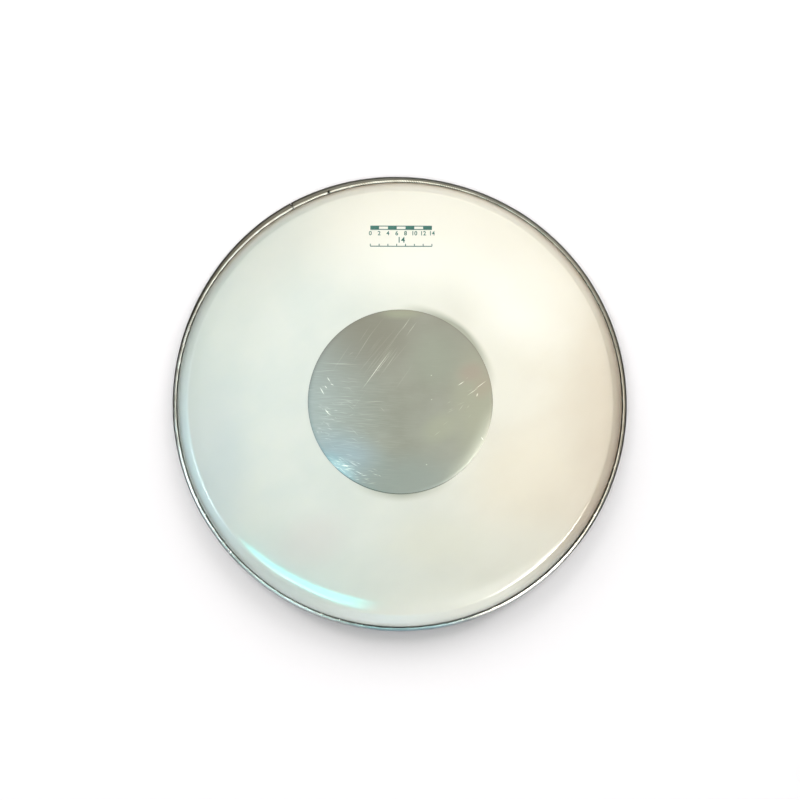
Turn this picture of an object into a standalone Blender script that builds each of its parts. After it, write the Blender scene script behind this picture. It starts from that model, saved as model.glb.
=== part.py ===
"""A 14-inch batter drum head, lying with its playing surface up.

A formed polyester film is hooked round a wire inside a rolled aluminium hoop,
and a metallised dot is stuck on the middle of the film. Lengths are in metres
and +Z is up. The origin is at the centre of the hoop's bottom face.
"""

from math import cos, pi, radians, sin, tan

import bmesh
import bpy
from mathutils import Vector

MM = 0.001

# Film: one sheet, flat in the middle, with a formed collar round it
FILM_THICKNESS = 0.25 * MM
FOOT_RADIUS = 179.0 * MM          # outside of the film where it enters the hoop
COLLAR_HEIGHT = 9.75 * MM         # playing surface above the top of the hoop
COLLAR_SLOPE = radians(52)        # of the collar's straight side, from level
ROLL_WIDTH = 12.5 * MM            # band where the playing surface starts to bend
ROLL_ANGLE = radians(4.5)         # slope at the outside of that band
SHOULDER_BEND = 4.0 * MM          # bend radius from playing surface to collar
FOOT_BEND = 1.5 * MM              # bend radius from collar to the upright foot
ENTRY_DEPTH = 0.5 * MM            # the foot is upright this far below the hoop's top
MARGIN_RISE = 1.9 * MM            # hooked margin, above the middle of the wire

# Hoop: a strip rolled into a channel, open at its inner top corner
STRIP_THICKNESS = 0.8 * MM
HOOP_HEIGHT = 9.5 * MM
HOOP_SHOULDER = 2.0 * MM          # bend radius at the outer top edge
LIP_BEND = 0.7 * MM               # where the top turns down into the lip
BOTTOM_BEND = 0.7 * MM            # both bottom edges
GROOVE_WIDTH = 1.1 * MM           # open gap between the film and the lip
INNER_WALL_DROP = 1.9 * MM        # the inner wall ends this far below the top
CHANNEL_SLACK = 0.75 * MM         # from the hooked margin to the outer wall

# Stakes: dents that press the lip towards the film
STAKE_COUNT = 81
STAKE_WIDTH = 2.8 * MM
STAKE_DEPTH = 2.3 * MM            # of a stake's middle below the hoop's top

# Butt joint of the hoop's two ends
JOINT_ANGLE = radians(118.8)
JOINT_GAP = 0.4 * MM
JOINT_FILING = 0.35 * MM          # how far the ends' outer edges are filed back
JOINT_SPREAD = 1.8 * MM           # the channel has sprung this much wider at its ends
SPREAD_ARC = radians(50)          # and closes up over this much of a turn

# Wire ring that the film's margin is hooked round
WIRE_RADIUS = 1.1 * MM
WIRE_END_GAP = 1.5 * MM
WIRE_SIDES = 6

# Dot and the adhesive under it
DOT_RADIUS = 74.0 * MM
DOT_THICKNESS = 0.19 * MM
ADHESIVE_THICKNESS = 0.05 * MM
ADHESIVE_SETBACK = 0.5 * MM       # the adhesive stops this far inside the dot's edge

# Clearances
SEAT_CLEARANCE = 0.25 * MM        # film to the hoop's inner wall and floor
WIRE_CLEARANCE = 0.2 * MM         # wire to film
LOCK_CLEARANCE = 0.3 * MM         # wire to the end of the lip, stakes to the film
BOND_GAP = 0.02 * MM              # between layers that are stuck together

# Facets round the head, and along each bend
FILM_SEGMENTS = 72
DOT_SEGMENTS = 72
ROLL_FACETS = 2
SHOULDER_FACETS = 4
FOOT_FACETS = 1
HOOK_FACETS = 3
HOOP_BEND_FACETS = 2

FULL_TURN = 2 * pi
UPRIGHT = pi / 2
SHARP_ANGLE = radians(40)         # edges sharper than this aren't shaded smooth

# Heights and radii that follow from the sizes above
playing_height = HOOP_HEIGHT + COLLAR_HEIGHT
hook_bend = WIRE_RADIUS + WIRE_CLEARANCE
wire_centre_radius = FOOT_RADIUS + hook_bend
wire_centre_height = STRIP_THICKNESS + SEAT_CLEARANCE + FILM_THICKNESS + hook_bend
lip_radius = FOOT_RADIUS + GROOVE_WIDTH
lip_end_height = wire_centre_height + WIRE_RADIUS + LOCK_CLEARANCE
wall_face_radius = FOOT_RADIUS - FILM_THICKNESS - SEAT_CLEARANCE
channel_radius = FOOT_RADIUS + 2 * hook_bend + FILM_THICKNESS + CHANNEL_SLACK
hoop_radius = channel_radius + STRIP_THICKNESS


def clear_scene():
    for item in list(bpy.data.objects):
        bpy.data.objects.remove(item, do_unlink=True)


def make_material(name, colour, roughness, metallic):
    material = bpy.data.materials.new(name)
    material.use_nodes = True
    shader = material.node_tree.nodes["Principled BSDF"]
    shader.inputs["Base Color"].default_value = (*colour, 1.0)
    shader.inputs["Roughness"].default_value = roughness
    shader.inputs["Metallic"].default_value = metallic
    return material


def place(section, angle):
    """Stand a section of (radius, height) points up at an angle round +Z."""
    return [Vector((r * cos(angle), r * sin(angle), z)) for r, z in section]


def arc(centre, radius, start, end, steps):
    """Points on an arc in the (radius, height) plane, both ends included."""
    turn = (end - start) / steps
    return [
        (
            centre[0] + radius * cos(start + turn * i),
            centre[1] + radius * sin(start + turn * i),
        )
        for i in range(steps + 1)
    ]


def join_columns(mesh, columns, ring, closed_section):
    """Fill quads between neighbouring columns of points, and return the vertices."""
    rows = [[mesh.verts.new(point) for point in column] for column in columns]
    column_count = len(rows)
    point_count = len(rows[0])
    for i in range(column_count if ring else column_count - 1):
        this, following = rows[i], rows[(i + 1) % column_count]
        for j in range(point_count if closed_section else point_count - 1):
            k = (j + 1) % point_count
            mesh.faces.new((this[j], following[j], following[k], this[k]))
    return rows


def finish_object(name, mesh, material):
    """Turn the faces outwards, shade the bends smooth and link the object."""
    bmesh.ops.recalc_face_normals(mesh, faces=mesh.faces)
    data = bpy.data.meshes.new(name)
    mesh.to_mesh(data)
    mesh.free()
    data.shade_smooth()
    data.set_sharp_from_angle(angle=SHARP_ANGLE)
    data.materials.append(material)
    result = bpy.data.objects.new(name, data)
    bpy.context.collection.objects.link(result)
    return result


def film_section(depth):
    """The film's path, depth below its playing surface, from the flat middle
    out over the shoulder, down the collar and round the wire.

    The upper side has depth 0. Outward bends lose the depth from their radius
    and the hook round the wire gains it, so the sheet keeps one thickness.
    """
    entry_height = HOOP_HEIGHT - ENTRY_DEPTH
    foot_centre = (FOOT_RADIUS - FOOT_BEND, entry_height)
    roll_bend = ROLL_WIDTH / sin(ROLL_ANGLE)
    roll_drop = roll_bend * (1 - cos(ROLL_ANGLE))
    shoulder_drop = SHOULDER_BEND * (cos(ROLL_ANGLE) - cos(COLLAR_SLOPE))
    foot_drop = FOOT_BEND * cos(COLLAR_SLOPE)
    side_drop = playing_height - entry_height - roll_drop - shoulder_drop - foot_drop
    side_width = side_drop / tan(COLLAR_SLOPE)
    side_foot_radius = foot_centre[0] + FOOT_BEND * sin(COLLAR_SLOPE)
    side_top_radius = side_foot_radius - side_width
    shoulder_centre = (
        side_top_radius - SHOULDER_BEND * sin(COLLAR_SLOPE),
        playing_height - roll_drop - SHOULDER_BEND * cos(ROLL_ANGLE),
    )
    roll_end_radius = shoulder_centre[0] + SHOULDER_BEND * sin(ROLL_ANGLE)
    roll_centre = (roll_end_radius - ROLL_WIDTH, playing_height - roll_bend)
    hook_centre = (wire_centre_radius, wire_centre_height)
    margin_radius = wire_centre_radius + hook_bend + depth

    roll_end = UPRIGHT - ROLL_ANGLE
    collar_side = UPRIGHT - COLLAR_SLOPE
    roll = arc(roll_centre, roll_bend - depth, UPRIGHT, roll_end, ROLL_FACETS)
    shoulder_bend = SHOULDER_BEND - depth
    shoulder = arc(shoulder_centre, shoulder_bend, roll_end, collar_side, SHOULDER_FACETS)
    foot = arc(foot_centre, FOOT_BEND - depth, collar_side, 0, FOOT_FACETS)
    hook = arc(hook_centre, hook_bend + depth, pi, FULL_TURN, HOOK_FACETS)
    margin_end = (margin_radius, wire_centre_height + MARGIN_RISE)
    return roll + shoulder[1:] + foot + hook + [margin_end]


def make_batter_film(material):
    section = film_section(0) + film_section(FILM_THICKNESS)[::-1]
    mesh = bmesh.new()
    columns = [place(section, FULL_TURN * i / FILM_SEGMENTS) for i in range(FILM_SEGMENTS)]
    rows = join_columns(mesh, columns, ring=True, closed_section=False)
    mesh.faces.new([row[0] for row in rows])
    mesh.faces.new([row[-1] for row in rows])
    return finish_object("batter_film", mesh, material)


def joint_spread(angle):
    """How much wider the channel is at an angle, counted on from the joint."""
    away = min(angle - JOINT_ANGLE, JOINT_ANGLE + FULL_TURN - angle)
    return JOINT_SPREAD * cos(UPRIGHT * min(away / SPREAD_ARC, 1)) ** 2


def hoop_column(angle, stake=0, filing=0):
    """The rolled strip's outline at an angle: up the outer wall, over the top,
    down the lip and back inside the channel to the inner wall.

    stake runs from 0, a plain lip, to 1, a lip pressed in to the film, whose
    top corner follows half as far. filing is how far the outer edges are taken
    back.
    """
    spread = joint_spread(angle)
    top = HOOP_HEIGHT - filing
    outside = hoop_radius + spread - filing
    bend_radius = hoop_radius + spread - HOOP_SHOULDER
    bend_height = HOOP_HEIGHT - HOOP_SHOULDER
    ceiling = HOOP_HEIGHT - STRIP_THICKNESS
    lip_back_radius = lip_radius + STRIP_THICKNESS
    wall_back_radius = wall_face_radius - STRIP_THICKNESS
    wall_top = HOOP_HEIGHT - INNER_WALL_DROP
    stake_reach = stake * (GROOVE_WIDTH - LOCK_CLEARANCE)
    stake_height = HOOP_HEIGHT - STAKE_DEPTH

    filed_centre = (bend_radius - filing, bend_height - filing)
    shoulder = arc(filed_centre, HOOP_SHOULDER, 0, UPRIGHT, HOOP_BEND_FACETS)
    inner_bend = HOOP_SHOULDER - STRIP_THICKNESS
    section = [
        (outside, BOTTOM_BEND),
        *shoulder,
        (lip_radius + LIP_BEND, top),
        (lip_radius - stake_reach / 2, top - LIP_BEND),
        (lip_radius - stake_reach, stake_height),
        (lip_radius, lip_end_height),
        (lip_back_radius, lip_end_height),
        (lip_back_radius, ceiling),
        (bend_radius, ceiling),
        (bend_radius + inner_bend, bend_height),
        (channel_radius + spread, STRIP_THICKNESS),
        (wall_face_radius, STRIP_THICKNESS),
        (wall_face_radius, wall_top),
        (wall_back_radius, wall_top),
        (wall_back_radius, BOTTOM_BEND),
        (wall_back_radius + BOTTOM_BEND, 0),
        (outside - BOTTOM_BEND, 0),
    ]
    return place(section, angle)


def make_flesh_hoop(material):
    end_angle = JOINT_GAP / 2 / hoop_radius
    filed_angle = end_angle + JOINT_FILING / hoop_radius
    half_stake = STAKE_WIDTH / 2 / lip_radius
    pitch = FULL_TURN / STAKE_COUNT
    last_angle = JOINT_ANGLE + FULL_TURN

    columns = [
        hoop_column(JOINT_ANGLE + end_angle, filing=JOINT_FILING),
        hoop_column(JOINT_ANGLE + filed_angle),
    ]
    for i in range(STAKE_COUNT):
        middle = JOINT_ANGLE + pitch * (i + 0.5)
        columns.append(hoop_column(middle - half_stake))
        columns.append(hoop_column(middle, stake=1))
        columns.append(hoop_column(middle + half_stake))
    columns.append(hoop_column(last_angle - filed_angle))
    columns.append(hoop_column(last_angle - end_angle, filing=JOINT_FILING))

    mesh = bmesh.new()
    rows = join_columns(mesh, columns, ring=False, closed_section=True)
    mesh.faces.new(rows[0])
    mesh.faces.new(rows[-1])
    return finish_object("flesh_hoop", mesh, material)


def make_lock_ring(material):
    """An open wire ring. Its columns match the film's, so the two keep clear."""
    centre = (wire_centre_radius, wire_centre_height)
    section = arc(centre, WIRE_RADIUS, 0, FULL_TURN, WIRE_SIDES)[:-1]
    half_gap = WIRE_END_GAP / 2 / wire_centre_radius
    inner_angles = [FULL_TURN * i / FILM_SEGMENTS for i in range(1, FILM_SEGMENTS)]
    angles = [half_gap, *inner_angles, FULL_TURN - half_gap]
    mesh = bmesh.new()
    columns = [place(section, angle) for angle in angles]
    rows = join_columns(mesh, columns, ring=False, closed_section=True)
    mesh.faces.new(rows[0])
    mesh.faces.new(rows[-1])
    return finish_object("lock_ring", mesh, material)


def make_disc(name, radius, bottom, thickness, material):
    mesh = bmesh.new()
    bmesh.ops.create_cone(
        mesh,
        cap_ends=True,
        segments=DOT_SEGMENTS,
        radius1=radius,
        radius2=radius,
        depth=thickness,
    )
    bmesh.ops.translate(mesh, verts=mesh.verts, vec=(0, 0, bottom + thickness / 2))
    return finish_object(name, mesh, material)


def build():
    clear_scene()
    aluminium = make_material("rolled_aluminium", (0.60, 0.60, 0.57), 0.35, 1.0)
    steel = make_material("steel_wire", (0.42, 0.43, 0.44), 0.4, 1.0)
    polyester = make_material("milky_polyester", (0.82, 0.84, 0.77), 0.3, 0.0)
    adhesive = make_material("clear_adhesive", (0.70, 0.68, 0.58), 0.5, 0.0)
    metallised = make_material("metallised_polyester", (0.40, 0.41, 0.37), 0.4, 0.6)

    make_flesh_hoop(aluminium)
    make_lock_ring(steel)
    make_batter_film(polyester)
    adhesive_bottom = playing_height + BOND_GAP
    dot_bottom = adhesive_bottom + ADHESIVE_THICKNESS + BOND_GAP
    adhesive_radius = DOT_RADIUS - ADHESIVE_SETBACK
    make_disc("dot_adhesive", adhesive_radius, adhesive_bottom, ADHESIVE_THICKNESS, adhesive)
    make_disc("silver_dot", DOT_RADIUS, dot_bottom, DOT_THICKNESS, metallised)


build()
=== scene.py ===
"""Looks of a 14-inch drum head that lies with its playing surface up.

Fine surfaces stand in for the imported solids: the milky film with its rolled
shoulder and hooked margin, the staked aluminium hoop, the wire in its channel,
the stuck-on metallised dot and a plain printed scale. Lengths are in metres,
+Z is up, and the origin is at the centre of the hoop's bottom face.
"""

from math import cos, pi, radians, sin, tan

import bmesh
import bpy
import numpy as np
from mathutils import Matrix, Vector


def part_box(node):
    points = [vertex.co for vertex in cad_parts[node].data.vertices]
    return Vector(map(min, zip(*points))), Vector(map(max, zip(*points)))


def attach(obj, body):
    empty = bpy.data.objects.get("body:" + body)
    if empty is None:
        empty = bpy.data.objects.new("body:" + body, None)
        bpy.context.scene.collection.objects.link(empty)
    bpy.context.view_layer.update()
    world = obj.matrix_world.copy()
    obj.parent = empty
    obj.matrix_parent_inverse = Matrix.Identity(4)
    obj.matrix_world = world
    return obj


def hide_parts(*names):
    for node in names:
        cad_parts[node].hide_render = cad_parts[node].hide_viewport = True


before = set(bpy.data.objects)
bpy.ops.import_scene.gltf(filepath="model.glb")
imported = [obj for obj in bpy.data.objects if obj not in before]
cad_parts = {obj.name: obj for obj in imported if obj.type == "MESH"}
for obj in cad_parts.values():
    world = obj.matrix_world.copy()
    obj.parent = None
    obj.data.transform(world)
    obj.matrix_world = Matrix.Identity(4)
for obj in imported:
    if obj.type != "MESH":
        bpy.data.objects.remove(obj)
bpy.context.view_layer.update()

MM = 0.001
FULL_TURN = 2 * pi
UPRIGHT = pi / 2
BACK = (0, 1, 0)

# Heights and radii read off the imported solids
film_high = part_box("batter_film")[1]
hoop_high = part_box("flesh_hoop")[1]
glue_low, glue_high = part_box("dot_adhesive")
dot_low, dot_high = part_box("silver_dot")
playing_height = film_high.z
hoop_height = hoop_high.z
dot_radius = dot_high.x
glue_radius = glue_high.x

# Film, with the sizes of its solid
FILM_THICKNESS = 0.25 * MM
FOOT_RADIUS = 179.0 * MM
COLLAR_SLOPE = radians(52)
ROLL_WIDTH = 12.5 * MM
ROLL_ANGLE = radians(4.5)
SHOULDER_BEND = 4.0 * MM
FOOT_BEND = 1.5 * MM
ENTRY_DEPTH = 0.5 * MM
MARGIN_RISE = 1.9 * MM

# Hoop, with the sizes of its solid
STRIP_THICKNESS = 0.8 * MM
HOOP_SHOULDER = 2.0 * MM
LIP_BEND = 0.7 * MM
BOTTOM_BEND = 0.7 * MM
GROOVE_WIDTH = 1.1 * MM
INNER_WALL_DROP = 1.9 * MM
CHANNEL_SLACK = 0.75 * MM
STAKE_COUNT = 81
STAKE_WIDTH = 2.8 * MM
STAKE_DEPTH = 2.3 * MM
JOINT_ANGLE = radians(118.8)
JOINT_GAP = 0.4 * MM
JOINT_FILING = 0.35 * MM
JOINT_SPREAD = 1.8 * MM
SPREAD_ARC = radians(50)

# Wire and clearances, with the sizes of their solids
WIRE_RADIUS = 1.1 * MM
WIRE_END_GAP = 1.5 * MM
SEAT_CLEARANCE = 0.25 * MM
WIRE_CLEARANCE = 0.2 * MM
LOCK_CLEARANCE = 0.3 * MM

# Unevenness that only the fine surfaces have
FILM_SAG = 0.05 * MM              # of each of the swells in the slack film
SWELL_LENGTHS = (31 * MM, 27 * MM, 22 * MM)
SAG_FADE = (120 * MM, 165 * MM)   # the swells fade out over these radii
SHOULDER_WANDER = 0.22 * MM       # of the shoulder, in and out
WANDER_RISE = (150 * MM, 168 * MM)
WANDER_FALL = (173 * MM, 178 * MM)
SIDE_START = radians(21)          # slope at which the collar's side leaves the shoulder's bend
SIDE_END = radians(66)            # slope at which it meets the foot's bend
SIDE_FULLNESS = 0.36              # reach of its control points, as a share of its length
FILM_LEAN = 0.8 * MM              # of the collar's foot, outwards, where the groove is widest
LEAN_RISE = (171 * MM, 178 * MM)  # it grows over these radii
LEAN_ANGLE = radians(245)         # the place where the groove is widest
GROOVE_BOW = 0.3 * MM             # of the hoop's lip, outwards, at the same place
LIP_CREEP = 0.35 * MM             # of the lip, inwards where it was rolled over
LIP_WANDER = 0.10 * MM            # of the lip, in and out
LIP_LEAN = 0.55 * MM              # of the lip, off the middle
LIP_ANGLE = radians(262)          # and towards this place
RIM_WANDER = 0.08 * MM            # of the hoop's outer edge, inwards only
CREASE_RADIUS = 181.35 * MM       # of the crease left by the rolls in the hoop's top
CREASE_DEPTH = 0.10 * MM
CREASE_WIDTH = 0.22 * MM          # of half its bell
PRESSED_START = 2.0 * MM          # below the top, where dents and crease start to show
PRESSED_FULL = 1.2 * MM           # and where they are full
EDGE_ROUNDING = 0.06 * MM         # of the dot's cut edge

# Stakes of the fine hoop: each is shifted, narrowed and weakened a little by chance
STAKE_SEED = 5
STAKE_SHIFT = 0.3 * MM
STAKE_WIDTHS = (0.8, 1.1)         # as shares of the solid's
STAKE_FORCES = (0.75, 1.0)        # as shares of a full stake
STAKE_REACH = 0.7 * MM            # of a full stake, where the groove leaves it room
FILM_GAP = 0.05 * MM              # left between a full stake and the film
STAKE_WAIST = 0.9                 # share of a stake's reach that shows under the lip's bend
WAIST_DROP = 1.25 * LIP_BEND      # of that place below the top
STAKE_LEAN = 0.85                 # share of it that shows at the lip's top

# How often each cosine of a wander goes round the head, and the phases
SHOULDER_SWELL = ((3, 5, 8, 13, 29), (0.3, 2.2, 4.4, 1.0, 0.6))
RIM_SWELL = ((4, 9, 17, 31), (0.2, 1.9, 3.1, 5.0))
LIP_SWELL = ((7, 12, 23, 41), (1.2, 0.1, 2.7, 4.0))
CREASE_SWELL = ((2, 3, 7), (2.4, 0.7, 1.3))

# Facets of the fine surfaces
FILM_COLUMNS = 360
FLAT_STEPS = 40
BEND_STEPS = 12
SHOULDER_STEPS = 18
COLLAR_STEPS = 16
MARGIN_STEPS = 3
DISC_RINGS = 24
DISC_EDGE_STEPS = 3
WIRE_SIDES = 16
STAKE_COLUMNS = 11
STAKE_SPAN = 0.62                 # of a stake's width, to either side, that these stand on
BETWEEN_COLUMNS = 6
DENT_COLUMNS = 9
DENT_SPAN = 0.9 * MM              # to either side of a dent
FILED_COLUMNS = (0, 0.1, 0.3, 0.6, 1.0, 2.0)  # in lengths of the filing, from an end
STRIP_BEND_STEPS = 4
WALL_EDGE_STEPS = 6
CEILING_STEPS = 5
LIP_STEPS = 7
TOP_STEPS = 8
RIM_STEPS = 16

hook_bend = WIRE_RADIUS + WIRE_CLEARANCE
wire_centre_radius = FOOT_RADIUS + hook_bend
wire_centre_height = STRIP_THICKNESS + SEAT_CLEARANCE + FILM_THICKNESS + hook_bend
lip_radius = FOOT_RADIUS + GROOVE_WIDTH
lip_end_height = wire_centre_height + WIRE_RADIUS + LOCK_CLEARANCE
wall_face_radius = FOOT_RADIUS - FILM_THICKNESS - SEAT_CLEARANCE
channel_radius = FOOT_RADIUS + 2 * hook_bend + FILM_THICKNESS + CHANNEL_SLACK
hoop_radius = channel_radius + STRIP_THICKNESS


# Shapes

def arc(centre, radius, start, end, steps):
    """Points on an arc in the (radius, height) plane, at even turns from start to end."""
    turn = np.linspace(start, end, steps + 1)
    return np.stack([centre[0] + radius * np.cos(turn), centre[1] + radius * np.sin(turn)], axis=1)


def straight(start, end, steps):
    """Evenly spaced points on a straight line, both ends included."""
    share = np.linspace(0, 1, steps + 1)[:, None]
    return np.array(start) * (1 - share) + np.array(end) * share


def curve(start, start_slope, end, end_slope, steps):
    """A cubic curve that leaves start and reaches end at given slopes, downwards."""
    share = np.linspace(0, 1, steps + 1)[:, None]
    start = np.array(start)
    end = np.array(end)
    reach = SIDE_FULLNESS * np.linalg.norm(end - start)
    first = start + reach * np.array([cos(start_slope), -sin(start_slope)])
    last = end - reach * np.array([cos(end_slope), -sin(end_slope)])
    near = start * (1 - share) ** 3 + 3 * first * share * (1 - share) ** 2
    far = 3 * last * share ** 2 * (1 - share) + end * share ** 3
    return near + far


def towards_lean(angle):
    """1 where the groove is widest, 0 on the other side of the head."""
    return (0.5 + 0.5 * np.cos(angle - LEAN_ANGLE)) ** 2


def smooth_step(value, low, high):
    """0 below low, 1 above high, and 3t^2 - 2t^3 in between."""
    t = np.clip((value - low) / (high - low), 0, 1)
    return t * t * (3 - 2 * t)


def swell(angle, turns, phases):
    """Mean of cosines that go round the head a whole number of times, from -1 to 1."""
    waves = [np.cos(count * angle + phase) for count, phase in zip(turns, phases)]
    return sum(waves) / len(waves)


def film_sag(x, y):
    """How far the slack film lies below its plane: three crossed swells, all downwards,
    that fade out before the shoulder."""
    along, over, slanting = SWELL_LENGTHS
    inside = 1 - smooth_step(np.hypot(x, y), *SAG_FADE)
    swells = np.cos(x / along + 0.4) + np.cos(y / over - 1.1) + np.cos((x - 0.6 * y) / slanting + 2.0)
    return -FILM_SAG * (3 + swells) * inside


def turned(path, angle, wander=0):
    """Carry a path of (radius, height) points round +Z. Columns come first, then the
    points of the path, and wander is added to the radius."""
    radius = path[..., 0] + wander
    height = path[..., 1] + 0 * angle
    return np.stack([radius * np.cos(angle), radius * np.sin(angle), height], axis=2)


def weave(columns, rows, ring, loop):
    """Quads between neighbouring columns and rows of a grid of points. A path that runs
    clockwise, with the radius to the right and the height up, gives faces that point out."""
    this = np.arange(columns if ring else columns - 1)[:, None]
    near = np.arange(rows if loop else rows - 1)[None, :]
    following = (this + 1) % columns
    far = (near + 1) % rows
    corners = [this * rows + near, this * rows + far, following * rows + far, following * rows + near]
    return np.stack(corners, axis=2).reshape(-1, 4)


def closed_ends(columns, rows):
    """Faces of a section carried from one end to another, with a cap on either end."""
    first_end = np.arange(rows)[::-1][None, :]
    last_end = (np.arange(rows) + (columns - 1) * rows)[None, :]
    return [weave(columns, rows, ring=False, loop=True), first_end, last_end]


def fan(pole, ring):
    """Triangles from a pole to each pair of neighbours in a ring of points."""
    return np.stack([np.full(len(ring), pole), ring, np.roll(ring, -1)], axis=1)


def make_piece(name, points, faces, material, replaced=None, sharp=radians(35)):
    """Put arrays of points and of faces in a mesh, shade it and set it on the body."""
    data = bpy.data.meshes.new(name)
    points = points.reshape(-1, 3)
    data.vertices.add(len(points))
    data.vertices.foreach_set("co", points.astype(np.float32).ravel())
    corners = np.concatenate([block.ravel() for block in faces])
    sizes = np.concatenate([np.full(len(block), block.shape[1]) for block in faces])
    data.loops.add(len(corners))
    data.loops.foreach_set("vertex_index", corners.astype(np.int32))
    data.polygons.add(len(sizes))
    data.polygons.foreach_set("loop_start", (np.cumsum(sizes) - sizes).astype(np.int32))
    data.update(calc_edges=True)
    data.shade_smooth()
    data.set_sharp_from_angle(angle=sharp)
    data.materials.append(material)
    piece = bpy.data.objects.new(name, data)
    bpy.context.collection.objects.link(piece)
    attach(piece, "root")
    if replaced:
        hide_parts(replaced)
    return piece


def turned_lens(path, angle, wander=0, shift=None):
    """Points and faces of a closed turned sheet whose path starts and ends on the axis.
    shift(x, y) is added to every height."""
    grid = turned(path[None, 1:-1], angle, wander)
    poles = np.array([[0, 0, path[0, 1]], [0, 0, path[-1, 1]]])
    columns, rows = grid.shape[:2]
    points = np.concatenate([grid.reshape(-1, 3), poles])
    if shift:
        points[:, 2] += shift(points[:, 0], points[:, 1])
    first_ring = np.arange(columns) * rows
    last_ring = (first_ring + rows - 1)[::-1]
    first_pole = columns * rows
    faces = [
        weave(columns, rows, ring=True, loop=False),
        fan(first_pole, first_ring),
        fan(first_pole + 1, last_ring),
    ]
    return points, faces


def film_path(depth):
    """Path of the film's section, depth below its upper side: flat from the middle, a
    slow roll, the shoulder's bend, the collar's side that grows steeper, the foot's bend
    and the hook round the wire, each tangent to the next piece."""
    entry_height = hoop_height - ENTRY_DEPTH
    foot_centre = (FOOT_RADIUS - FOOT_BEND, entry_height)
    roll_bend = ROLL_WIDTH / sin(ROLL_ANGLE)
    roll_drop = roll_bend * (1 - cos(ROLL_ANGLE))
    shoulder_drop = SHOULDER_BEND * (cos(ROLL_ANGLE) - cos(COLLAR_SLOPE))
    foot_drop = FOOT_BEND * cos(COLLAR_SLOPE)
    side_drop = playing_height - entry_height - roll_drop - shoulder_drop - foot_drop
    side_top_radius = foot_centre[0] + FOOT_BEND * sin(COLLAR_SLOPE) - side_drop / tan(COLLAR_SLOPE)
    shoulder_centre = (
        side_top_radius - SHOULDER_BEND * sin(COLLAR_SLOPE),
        playing_height - roll_drop - SHOULDER_BEND * cos(ROLL_ANGLE),
    )
    roll_start = shoulder_centre[0] + SHOULDER_BEND * sin(ROLL_ANGLE) - ROLL_WIDTH
    roll_centre = (roll_start, playing_height - roll_bend)
    hook_centre = (wire_centre_radius, wire_centre_height)
    margin_radius = wire_centre_radius + hook_bend + depth

    roll_end = UPRIGHT - ROLL_ANGLE
    shoulder_end = UPRIGHT - SIDE_START
    upper = playing_height - depth
    flat = straight((0, upper), (roll_start, upper), FLAT_STEPS)
    roll = arc(roll_centre, roll_bend - depth, UPRIGHT, roll_end, BEND_STEPS)
    shoulder = arc(shoulder_centre, SHOULDER_BEND - depth, roll_end, shoulder_end, SHOULDER_STEPS)
    foot = arc(foot_centre, FOOT_BEND - depth, UPRIGHT - SIDE_END, 0, BEND_STEPS)
    collar = curve(shoulder[-1], SIDE_START, foot[0], SIDE_END, COLLAR_STEPS)
    hook = arc(hook_centre, hook_bend + depth, pi, FULL_TURN, BEND_STEPS)
    upright = straight(foot[-1], hook[0], MARGIN_STEPS)
    margin_end = np.array([[margin_radius, wire_centre_height + MARGIN_RISE]])
    parts = [flat, roll[1:], shoulder[1:], collar[1:], foot[1:], upright[1:], hook[1:], margin_end]
    return np.concatenate(parts)


def make_film(material):
    """The film, its upper side out to the margin's end and its lower side back. Near the
    shoulder its radius wanders, and at the foot it leans."""
    path = np.concatenate([film_path(0), film_path(FILM_THICKNESS)[::-1]])
    angle = np.linspace(0, FULL_TURN, FILM_COLUMNS, endpoint=False)[:, None]
    radius = path[None, 1:-1, 0]
    height = path[None, 1:-1, 1]
    near_shoulder = smooth_step(radius, *WANDER_RISE) * (1 - smooth_step(radius, *WANDER_FALL))
    wander = SHOULDER_WANDER * near_shoulder * swell(angle, *SHOULDER_SWELL)
    at_foot = smooth_step(radius, *LEAN_RISE) * (radius < wire_centre_radius - WIRE_RADIUS)
    at_foot = at_foot * smooth_step(height, lip_end_height, hoop_height - ENTRY_DEPTH)
    wander = wander + FILM_LEAN * towards_lean(angle) * at_foot
    points, faces = turned_lens(path, angle, wander, film_sag)
    return make_piece("formed_film", points, faces, material, "batter_film")


def disc_path(radius, bottom, top):
    """Path over a thin disc: its top, a rounded edge and its bottom."""
    rounding = min(EDGE_ROUNDING, (top - bottom) / 3)
    flat_radius = radius - rounding
    upper = straight((0, top), (flat_radius, top), DISC_RINGS)
    upper_edge = arc((flat_radius, top - rounding), rounding, UPRIGHT, 0, DISC_EDGE_STEPS)
    lower_edge = arc((flat_radius, bottom + rounding), rounding, 0, -UPRIGHT, DISC_EDGE_STEPS)
    lower = straight((flat_radius, bottom), (0, bottom), DISC_RINGS)
    return np.concatenate([upper, upper_edge[1:], lower_edge, lower[1:]])


def make_disc(name, radius, low, high, material, replaced):
    """A disc that lies on the film and follows its sag."""
    angle = np.linspace(0, FULL_TURN, FILM_COLUMNS, endpoint=False)[:, None]
    path = disc_path(radius, low.z, high.z)
    points, faces = turned_lens(path, angle, 0, film_sag)
    return make_piece(name, points, faces, material, replaced)


# Dents in the hoop's top: angle, radius, depth, half length along and half width across
DENTS = [
    (radians(108.8), 181.2 * MM, 0.55 * MM, 0.55 * MM, 0.50 * MM),
    (radians(220.8), 181.5 * MM, 0.40 * MM, 0.70 * MM, 0.90 * MM),
    (radians(222.0), 182.3 * MM, 0.25 * MM, 0.50 * MM, 0.60 * MM),
    (radians(150.5), 182.6 * MM, 0.30 * MM, 0.60 * MM, 0.60 * MM),
    (radians(14.5), 181.0 * MM, 0.20 * MM, 0.50 * MM, 0.60 * MM),
    (radians(286.0), 180.8 * MM, 0.25 * MM, 0.60 * MM, 0.60 * MM),
]


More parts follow.
